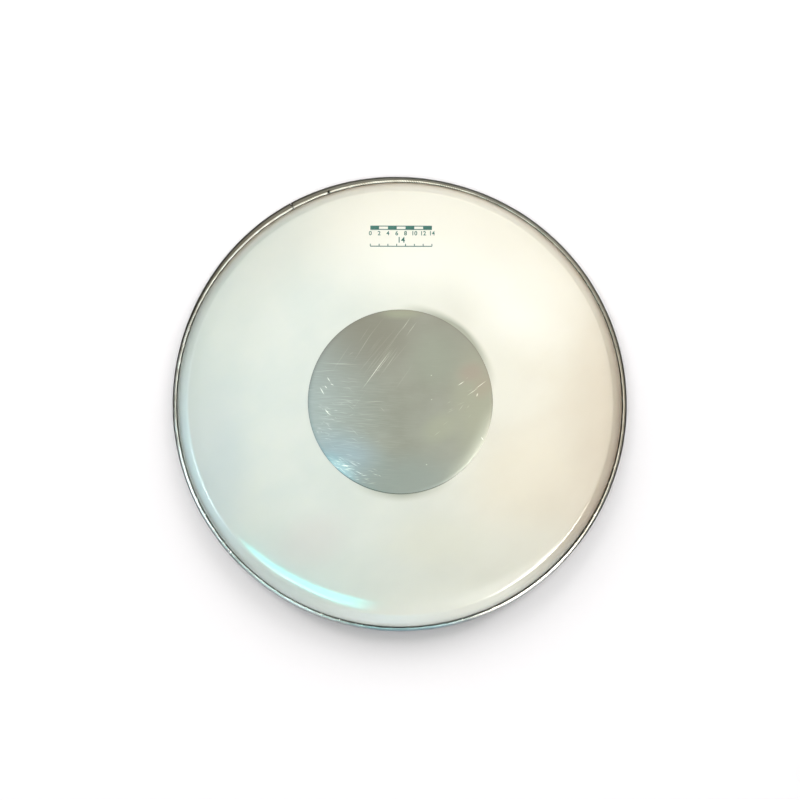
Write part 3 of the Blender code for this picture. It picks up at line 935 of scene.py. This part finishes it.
def rolled_aluminium():
    """Aluminium strip, rolled and left bare: dull grey with lines along the strip and
    slanted marks across it. Painted reflection makes it bluer at the left and warmer at the
    right, tarnish and painted shade darken its outer edge, painted shade darkens its crease,
    and painted highlights and glints brighten it in places."""
    material, tree, shader = new_finish("rolled_aluminium", {"Metallic": 1.0})
    strip = add_node(tree, "ShaderNodeUVMap", uv_map="strip").outputs["UV"]
    place = add_node(tree, "ShaderNodeTexCoord").outputs["Object"]
    distance = from_axis(tree, place)
    lines = grain(tree, strip, 30, 0.25)
    shade = grain(tree, strip, 9, 3, detail=4.0, low=0.35, high=0.7)
    split = add_node(tree, "ShaderNodeSeparateXYZ", {0: place})
    side = add_node(tree, "ShaderNodeMapRange", {
        "Value": split.outputs["X"], "From Min": -SIDE_REACH, "From Max": SIDE_REACH,
    }).outputs[0]

    slanted = add_node(tree, "ShaderNodeMapping", {"Vector": strip, "Rotation": (0, 0, HATCH_SLANT)})
    hatch = add_node(tree, "ShaderNodeTexWave", {
        "Vector": slanted.outputs[0], "Scale": FULL_TURN / 20 / HATCH_PITCH,
    }).outputs["Fac"]
    gripped = add_node(tree, "ShaderNodeMath", {
        0: patch(tree, place, *HATCH_PART), 1: HATCH_STRENGTH,
        2: grain(tree, strip, 26, 26, detail=1.0, low=0.46, high=0.60, most=0.5),
    }, operation="MULTIPLY_ADD").outputs[0]

    widening = step_along(tree, place, WIDENING_TOWARDS, *WIDENING_SPAN, 0.0, TARNISH_SHADE_WIDENING)
    corner = step_along(tree, place, CORNER_TOWARDS, *CORNER_SPAN, 0.0, TARNISH_SHADE_CORNER)
    outward = add_node(tree, "ShaderNodeMath", {0: distance, 1: widening}, operation="ADD").outputs[0]
    outward = add_node(tree, "ShaderNodeMath", {0: outward, 1: corner}, operation="ADD").outputs[0]
    outer = band(tree, outward, TARNISH_SHADE_START + TARNISH_SHADE_FADE, 2 * hoop_radius, TARNISH_SHADE_FADE)
    raised = step_along(tree, place, (0, 0, 1), WALL_TOP - WALL_FADE, WALL_TOP, WALL_TARNISH_SHADE)
    outer = add_node(tree, "ShaderNodeMath", {0: outer, 1: raised}, operation="MULTIPLY").outputs[0]
    tarnish_and_shade_tone = layered(tree, linear("#44413A"), [(side, "#434745", 1.0)])

    # Painted shade, with some grime, along the crease
    creased = band(tree, distance, CREASE_RADIUS - CREASE_HALF, CREASE_RADIUS + CREASE_HALF, CREASE_FADE)
    inner = band(tree, distance, LIP_DARK_START, LIP_DARK_END, LIP_DARK_FADE)
    tone = layered(tree, linear("#B4B9B8"), [
        # painted reflection: bluer at the left, warmer at the right
        (side, "#BDBAB2", 1.0),
        (shade, "#8A877F", 1.0),
        (hatch, "#5E5B53", gripped),
        # painted highlights
        *soft_spots(tree, place, HOOP_HIGHLIGHTS),
        # tarnish and painted shade on the outer edge
        (outer, tarnish_and_shade_tone, TARNISH_SHADE_STRENGTH),
        # painted shade in the crease
        (creased, "#4A463E", shade),
        *parts_of(tree, inner, place, [LIP_DARK]),
        # tones with a teal painted reflection in front, and marks with painted glints
        *soft_spots(tree, place, HOOP_TONES + HOOP_MARKS),
    ])
    tree.links.new(tone, shader.inputs["Base Color"])
    rough = add_node(tree, "ShaderNodeMapRange", {"Value": lines, "To Min": 0.20, "To Max": 0.42})
    tree.links.new(rough.outputs[0], shader.inputs["Roughness"])
    relief = add_node(tree, "ShaderNodeBump", {"Height": lines, "Distance": 0.02 * MM, "Strength": 0.6})
    tree.links.new(relief.outputs["Normal"], shader.inputs["Normal"])
    return material


def spotted(name, tone, code, size, values):
    """A finish with a tone and, over it, fine spots of another colour and a size in mm."""
    material, tree, shader = new_finish(name, values)
    place = add_node(tree, "ShaderNodeTexCoord").outputs["Object"]
    tone = layered(tree, linear(tone), [(grain(tree, place, *size), code, 1.0)])
    tree.links.new(tone, shader.inputs["Base Color"])
    return material


def drawn_steel():
    """Steel wire, drawn bright: a smooth dark grey with faint spots."""
    return spotted("drawn_steel", "#8F9193", "#6D6A66", (4, 2), {"Metallic": 1.0, "Roughness": 0.35})


def clear_adhesive():
    """Acrylic adhesive, coated: a dull yellowish layer that shows only at its edge."""
    return spotted("clear_adhesive", "#C9C3AC", "#B3AC94", (3, 3), {"Roughness": 0.5})


def screen_ink():
    """Ink, screen printed: a matt dark green with thin spots."""
    return spotted("screen_ink", "#0A4A42", "#1F6C60", (0.8, 0.8), {"Roughness": 0.5})


# Scratches on the dot: x, y, length, width in mm, direction in degrees, strength
SCRATCHES = [
    (-19.3, 25.4, 42.0, 0.6, 53.8, 0.32),
    (-14.0, 30.5, 30.0, 0.5, 53.0, 0.14),
    (-8.0, 32.0, 24.0, 0.5, 56.0, 0.12),
    (-30.0, 44.0, 34.0, 0.5, 58.0, 0.07),
    (4.6, 62.5, 14.0, 0.5, 56.0, 0.16),
    (9.0, 58.5, 16.0, 0.5, 54.0, 0.14),
    (-48.5, 30.2, 44.0, 0.5, -3.2, 0.12),
    (-60.0, 24.5, 24.0, 0.5, 4.0, 0.11),
    (48.6, 14.6, 7.0, 0.6, 33.0, 0.42),
    (64.3, 13.4, 13.0, 0.6, 37.0, 0.34),
    (58.0, 8.0, 12.0, 0.5, 35.0, 0.30),
    (-62.6, 8.4, 7.5, 0.9, -60.0, 0.42),
    (-57.4, 17.8, 4.6, 0.9, -55.0, 0.36),
    (-59.6, 11.6, 3.4, 0.9, -50.0, 0.36),
    (-54.6, 13.6, 3.4, 0.8, -20.0, 0.30),
    (-58.4, -8.4, 7.0, 1.0, -50.0, 0.40),
    (61.5, 5.4, 3.6, 1.4, 70.0, 0.25),
    (24.8, 21.0, 1.6, 1.0, 40.0, 0.18),
    (25.0, 1.6, 1.6, 1.0, 40.0, 0.15),
    (65.5, -29.6, 3.4, 0.7, -55.0, 0.5),
    (20.9, -50.4, 1.4, 1.2, 0.0, 0.18),
]

# Families of fine scratches: x, y and spreads in mm, count, length, direction, wander of
# the direction, strength
SCRATCH_FAMILIES = [
    (-48.0, -51.0, 19.0, 9.0, 64, 6.0, -16.0, 12.0, 0.26),
    (-30.0, -60.0, 16.0, 6.0, 16, 6.0, -8.0, 12.0, 0.17),
    (-58.0, -16.0, 10.0, 20.0, 26, 4.0, -25.0, 20.0, 0.20),
    (-48.0, -6.0, 22.0, 30.0, 22, 16.0, -5.0, 5.0, 0.10),
    (-46.0, -8.0, 26.0, 36.0, 40, 7.0, -12.0, 24.0, 0.09),
    (-16.0, 38.0, 20.0, 24.0, 30, 26.0, 54.0, 3.0, 0.05),
    (44.0, -12.0, 26.0, 30.0, 14, 6.0, 40.0, 14.0, 0.08),
]
SCRATCH_SEED = 11
SCRATCH_FULL = 0.6                # crossed scratches add up until here, and then are white

# Tones of the dot: bluish at the left and the front left, a painted reflection of the cool light, and dull,
# warm and brownish stretches elsewhere
DOT_TONES = [
    (-30.0, 48.0, 120.0, 80.0, 20.0, "#66655E", 0.9),
    (-112.0, -12.0, 230.0, 230.0, 5.0, "#7D8688", 1.0),
    (-44.0, -48.0, 100.0, 64.0, -25.0, "#75828A", 0.9),
    (-50.0, -52.0, 50.0, 24.0, -32.0, "#718A93", 0.8),
    (-48.0, -53.0, 38.0, 12.0, -34.0, "#96AEB6", 0.45),
    (4.0, -62.0, 120.0, 60.0, 0.0, "#6A6F6C", 0.9),
    (62.0, 0.0, 64.0, 130.0, 0.0, "#76776C", 0.9),
    (56.5, 23.4, 34.0, 24.0, 10.0, "#776D66", 0.6),
    (66.0, 12.0, 20.0, 30.0, -25.0, "#786F65", 0.5),
    (31.7, -21.0, 44.0, 30.0, 30.0, "#787A6E", 0.7),
    (0.5, 72.5, 50.0, 16.0, 0.0, "#7A7C6F", 0.8),
    (28.0, 34.0, 60.0, 70.0, 0.0, "#70746C", 0.7),
]

# The cut edge shows dark in front, and near the edge at the right there is a pale painted reflection
EDGE_INSET = 0.3 * MM
EDGE_OUTSET = 1.0 * MM
EDGE_FADE = 0.5 * MM
EDGE_PART = (8.0, -80.0, 180.0, 90.0)
EDGE_STRENGTH = 1.2               # in the middle of that part
EDGE_REST = 0.15                  # elsewhere
PALE_REFLECTION_START = 73 * MM
PALE_REFLECTION_FADE = 12 * MM
PALE_REFLECTION_PART = (66.0, -40.0, 100.0, 44.0, 57.0, "#96988F", 1.0)

# Brush marks of wear, stronger on the left
BRUSH_STRENGTH = 0.055
BRUSHED_PART = (-60.0, -24.0, 150.0, 150.0)
BRUSHED_MORE = 1.4                # in the middle of that part
BRUSHED_REST = 0.12               # elsewhere


def scratch_marks():
    """The single scratches, and those that the families scatter round their middles."""
    marks = list(SCRATCHES)
    rng = np.random.default_rng(SCRATCH_SEED)
    for x, y, spread_x, spread_y, count, length, turn, wander, strength in SCRATCH_FAMILIES:
        for _ in range(count):
            marks.append((
                x + spread_x * rng.normal() * 0.5, y + spread_y * rng.normal() * 0.5,
                length * rng.uniform(0.5, 1.4), rng.uniform(0.35, 0.7),
                turn + rng.normal() * wander, strength * rng.uniform(0.4, 1.0),
            ))
    return marks


def metallised_polyester():
    """Polyester metallised on its back: a satin grey mirror, brushed along X by use on
    its left half, with pale scratches where sticks struck it. Its tone holds painted
    reflections: bluish at the left and the front left, and pale near the edge at the right."""
    material, tree, shader = new_finish("metallised_polyester", {"Metallic": 0.85, "Roughness": 0.42})
    place = add_node(tree, "ShaderNodeTexCoord").outputs["Object"]
    distance = from_axis(tree, place)
    total = 0.0
    for x, y, length, width, turn, strength in scratch_marks():
        one = patch(tree, place, x, y, length, width, turn)
        total = add_node(tree, "ShaderNodeMath", {
            0: one, 1: strength, 2: total,
        }, operation="MULTIPLY_ADD").outputs[0]
    scratched = add_node(tree, "ShaderNodeMapRange", {
        "Value": total, "From Max": SCRATCH_FULL,
    }).outputs[0]

    cloud = grain(tree, place, 32, 24, 17.2, detail=4.0, low=0.35, high=0.65)
    edge = band(tree, distance, dot_radius - EDGE_INSET, dot_radius + EDGE_OUTSET, EDGE_FADE)
    front = add_node(tree, "ShaderNodeMath", {
        0: patch(tree, place, *EDGE_PART), 1: EDGE_STRENGTH, 2: EDGE_REST,
    }, operation="MULTIPLY_ADD").outputs[0]
    pale_reflection = band(tree, distance, PALE_REFLECTION_START, 2 * dot_radius, PALE_REFLECTION_FADE)
    brush = grain(tree, place, 11, 0.42, -3.0, 0.0, low=0.45, high=0.80, most=BRUSH_STRENGTH)
    left = add_node(tree, "ShaderNodeMath", {
        0: patch(tree, place, *BRUSHED_PART), 1: BRUSHED_MORE, 2: BRUSHED_REST,
    }, operation="MULTIPLY_ADD").outputs[0]
    tone = layered(tree, linear("#6A6B64"), [
        (cloud, "#71726C", 1.0),
        # tones, bluish at the left as a painted reflection
        *soft_spots(tree, place, DOT_TONES),
        (edge, "#33352F", front),
        # painted reflection near the edge at the right
        *parts_of(tree, pale_reflection, place, [PALE_REFLECTION_PART]),
        (brush, "#E6EEEE", left),
        (scratched, "#F2F4EC", 1.0),
    ])
    tree.links.new(tone, shader.inputs["Base Color"])
    return material


# Studio

def aimed(eye, target, up=BACK):
    """A place and turn for a camera or lamp at eye that looks at target, with up upwards."""
    back = (Vector(eye) - Vector(target)).normalized()
    right = Vector(up).cross(back).normalized()
    above = back.cross(right)
    turn = Matrix((right, above, back)).transposed().to_4x4()
    return Matrix.Translation(eye) @ turn


def soft_box(name, centre, size, radiance, colour, edge=0.0, up=BACK, taper=1.0, adds="all"):
    """A rectangular lamp of a given radiance that faces the head. Its light fades out
    over a share, edge, of its width and height, and at the start of its width only a
    share, taper, of its height is lit. It adds all its light, or only shine or fill."""
    lamp = bpy.data.lights.new(name, "AREA")
    lamp.shape = "RECTANGLE"
    lamp.size, lamp.size_y = size
    lamp.energy = pi * size[0] * size[1]
    lamp.use_nodes = True
    tree = lamp.node_tree
    emission = tree.nodes["Emission"]
    emission.inputs["Color"].default_value = linear(colour)
    if edge:
        place = add_node(tree, "ShaderNodeNewGeometry").outputs["Parametric"]
        split = add_node(tree, "ShaderNodeSeparateXYZ", {0: place})
        fades = []
        margin = add_node(tree, "ShaderNodeMapRange", {
            "Value": split.outputs[0], "To Min": (1 - taper) / 2, "To Max": 0.0,
        }).outputs[0]
        for side in (0, 1):
            near = add_node(tree, "ShaderNodeMath", {
                0: split.outputs[side], 1: 0.5,
            }, operation="PINGPONG").outputs[0]
            if side:
                near = add_node(tree, "ShaderNodeMath", {
                    0: near, 1: margin,
                }, operation="SUBTRACT").outputs[0]
            fades.append(add_node(tree, "ShaderNodeMapRange", {
                "Value": near, "From Max": edge,
            }, interpolation_type="SMOOTHSTEP").outputs[0])
        strength = radiance
        for fade in fades:
            strength = add_node(tree, "ShaderNodeMath", {
                0: fade, 1: strength,
            }, operation="MULTIPLY").outputs[0]
        tree.links.new(strength, emission.inputs["Strength"])
    else:
        emission.inputs["Strength"].default_value = radiance
    holder = bpy.data.objects.new(name, lamp)
    holder.matrix_world = aimed(centre, (0, 0, 10 * MM), up)
    holder.visible_diffuse = adds != "shine"
    holder.visible_glossy = adds != "fill"
    bpy.context.collection.objects.link(holder)
    return holder


# Radiance of the surroundings: at the sides, and then towards the front, the back and
# down, each with its direction and where it starts and is full, as cosines to it
SIDE_RADIANCE = (0.12, 0.12, 0.115)
SURROUNDINGS = [
    ((0.17, -0.98, 0.0), 0.1, 0.95, (1.1, 1.12, 1.15)),
    ((0.2, 0.98, 0.0), 0.2, 1.0, (0.9, 0.9, 0.86)),
    ((0.0, 0.0, -1.0), 0.40, 0.75, (0.9, 0.9, 0.9)),
]


def make_world():
    """Studio surroundings, dim at the sides, bright in front of the head, behind and below."""
    world = bpy.data.worlds.new("studio")
    bpy.context.scene.world = world
    world.use_nodes = True
    tree = world.node_tree
    direction = add_node(tree, "ShaderNodeTexCoord").outputs["Generated"]
    tone = layered(tree, (*SIDE_RADIANCE, 1.0), [
        (step_along(tree, direction, towards, start, full), (*radiance, 1.0), 1.0)
        for towards, start, full, radiance in SURROUNDINGS
    ])
    tree.links.new(tone, tree.nodes["Background"].inputs["Color"])


FLOOR_RADIUS = 4.0
FLOOR_SIDES = 96
FLOOR_DROP = 0.3 * MM


def make_floor():
    """A round of matt paper, flat under the head."""
    data = bpy.data.meshes.new("floor")
    turns = [FULL_TURN * side / FLOOR_SIDES for side in range(FLOOR_SIDES)]
    corners = [(FLOOR_RADIUS * cos(turn), FLOOR_RADIUS * sin(turn), 0) for turn in turns]
    data.from_pydata(corners, [], [range(FLOOR_SIDES)])
    paper = new_finish("floor_paper", {"Base Color": linear("#807E7F"), "Roughness": 0.9})[0]
    data.materials.append(paper)
    floor = bpy.data.objects.new("floor", data)
    floor.location.z = -FLOOR_DROP
    bpy.context.collection.objects.link(floor)
    floor.visible_glossy = False      # the gloss of the collar mirrors the surroundings instead
    return floor


CAMERA_DISTANCE = 1.25
CAMERA_TILT = radians(3.6)        # off the upright, towards the front
CAMERA_SIDE = radians(-13)        # and a little to the left
PIXELS_PER_MM = 1.2503            # at the playing surface, of an image 800 wide
SENSOR_WIDTH = 36.0
IMAGE_WIDTH = 800
AIM_X = -0.3 * MM
AIM_Y = 1.25 * MM


def make_camera():
    """The photograph's viewpoint: a little in front of straight above."""
    reach = CAMERA_DISTANCE * sin(CAMERA_TILT)
    rise = CAMERA_DISTANCE * cos(CAMERA_TILT)
    aim = Vector((AIM_X, AIM_Y, playing_height))
    eye = aim + Vector((reach * sin(CAMERA_SIDE), -reach * cos(CAMERA_SIDE), rise))
    camera = bpy.data.cameras.new("camera")
    camera.sensor_width = SENSOR_WIDTH
    camera.lens = PIXELS_PER_MM * SENSOR_WIDTH * CAMERA_DISTANCE / MM / IMAGE_WIDTH
    holder = bpy.data.objects.new("camera", camera)
    holder.matrix_world = aimed(eye, aim)
    bpy.context.collection.objects.link(holder)
    bpy.context.scene.camera = holder


# Lamps of the whole scene: name, place, size, radiance, colour, edge, up, taper, what it adds
LAMPS = [
    ("ceiling", (0.15, 0.55, 1.8), (2.4, 2.2), 4.1, "#FFF9EC", 0.5, BACK, 1.0, "all"),
    ("warm_ceiling", (0.50, 0.10, 1.8), (1.0, 1.2), 2.0, "#FFE6C8", 0.5, BACK, 1.0, "all"),
    ("room_fill", (-0.5, -0.2, 2.0), (1.6, 1.6), 2.3, "#EAFDFF", 0.0, BACK, 1.0, "fill"),
    ("cool_window", (-0.262, -0.372, 1.8), (0.50, 0.32), 9.5, "#00FFFA", 0.22, (0.24, 1, 0), 0.34, "shine"),
    ("right_window", (0.72, -0.66, 1.7), (0.85, 0.7), 26.0, "#FFFDF6", 0.3, (0.74, -0.68, 0), 1.0, "shine"),
    ("right_wing", (0.50, -0.49, 1.7), (0.30, 0.30), 18.0, "#FFFDF6", 0.3, (0.7, -0.7, 0), 1.0, "shine"),
    ("cool_core", (-0.270, -0.420, 1.8), (0.46, 0.06), 9.0, "#FFFFFF", 0.5, (0.28, 1, 0), 1.0, "shine"),
    ("cool_glow", (-0.22, -0.30, 1.8), (0.50, 0.34), 1.8, "#00FFFA", 0.5, (0.16, 1, 0), 1.0, "shine"),
    ("right_glow", (0.30, -0.42, 1.8), (0.46, 0.38), 2.6, "#FFFDF6", 0.5, BACK, 1.0, "shine"),
    ("left_window", (-1.05, -0.34, 1.7), (0.75, 0.72), 20.0, "#F2FBFF", 0.5, BACK, 1.0, "shine"),
]

# Lamps that light the floor alone, three behind the head and one over it: name, place,
# size, radiance
FLOOR_LAMPS = [
    ("floor_key", (0.0, 5.8, 2.3), (6.6, 3.0), 23.0),
    ("left_floor_key", (-4.1, 4.1, 2.3), (6.6, 3.0), 36.0),
    ("right_floor_key", (4.1, 4.1, 2.3), (6.6, 3.0), 36.0),
    ("floor_fill", (0.0, -0.9, 2.5), (1.6, 1.6), 17.0),
]


def make_lamps(floor):
    """The scene's lamps, and those that light only the floor."""
    for settings in LAMPS:
        soft_box(*settings)
    lit = bpy.data.collections.new("lit_by_floor_lamps")
    lit.objects.link(floor)
    for name, place, size, radiance in FLOOR_LAMPS:
        lamp = soft_box(name, place, size, radiance, "#FFFFFF", 0.3)
        lamp.light_linking.receiver_collection = lit


# Build

bpy.context.scene.view_settings.view_transform = "Standard"
make_camera()
make_film(milky_polyester())
make_hoop(rolled_aluminium())
make_wire(drawn_steel())
make_disc(
    "glue_layer", glue_radius, glue_low, glue_high, clear_adhesive(),
    "dot_adhesive",
)
make_disc(
    "struck_dot", dot_radius, dot_low, dot_high, metallised_polyester(),
    "silver_dot",
)
make_print(screen_ink())
make_world()
make_lamps(make_floor())
